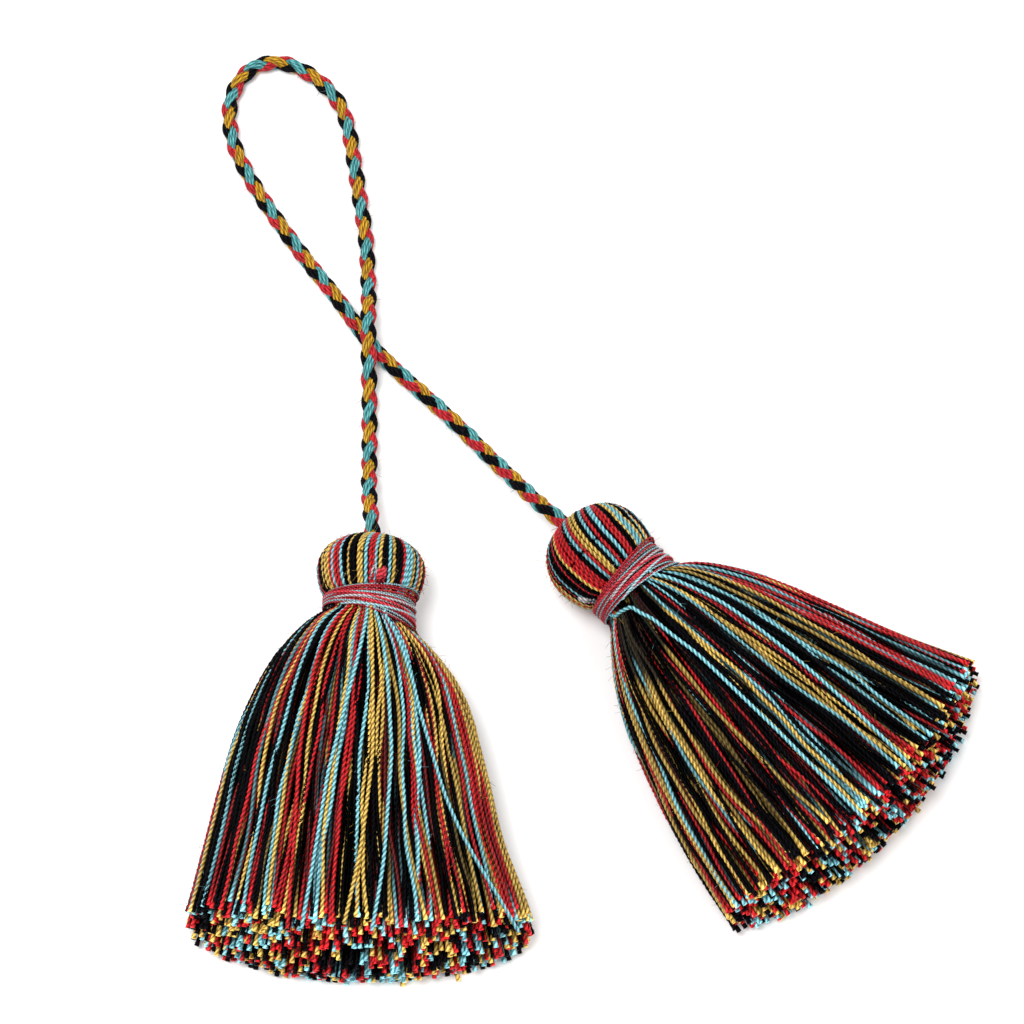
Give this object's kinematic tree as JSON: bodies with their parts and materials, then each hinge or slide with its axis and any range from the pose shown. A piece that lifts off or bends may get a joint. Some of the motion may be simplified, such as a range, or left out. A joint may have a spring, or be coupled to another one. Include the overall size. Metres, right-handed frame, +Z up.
{
  "type": "double key tassel",
  "caption": "Full yarn tassels with round heads and bound necks on both ends of a round braided cord whose loop crosses itself.",
  "frame": {"origin": "middle of the two tassels' footprint on the surface they lie on, the free cord left out", "axes": "+Z up from the surface, +X from the left tassel to the right one, +Y from the skirts' hems towards the cord's loop"},
  "size_m": [0.1531, 0.1974, 0.0237],
  "materials": {
    "skirt_yarn": "twisted two-ply yarns in red, gold, turquoise and black, soft sheen",
    "binding_thread": "wound red thread with pale turquoise turns",
    "cord_yarn": "four-strand round braid in red, gold, turquoise and black"
  },
  "bodies": {
    "root": {"tassel_left": "skirt_yarn", "tassel_right": "skirt_yarn", "binding_left": "binding_thread", "binding_right": "binding_thread", "braided_cord": "cord_yarn"}
  },
  "joints": []
}
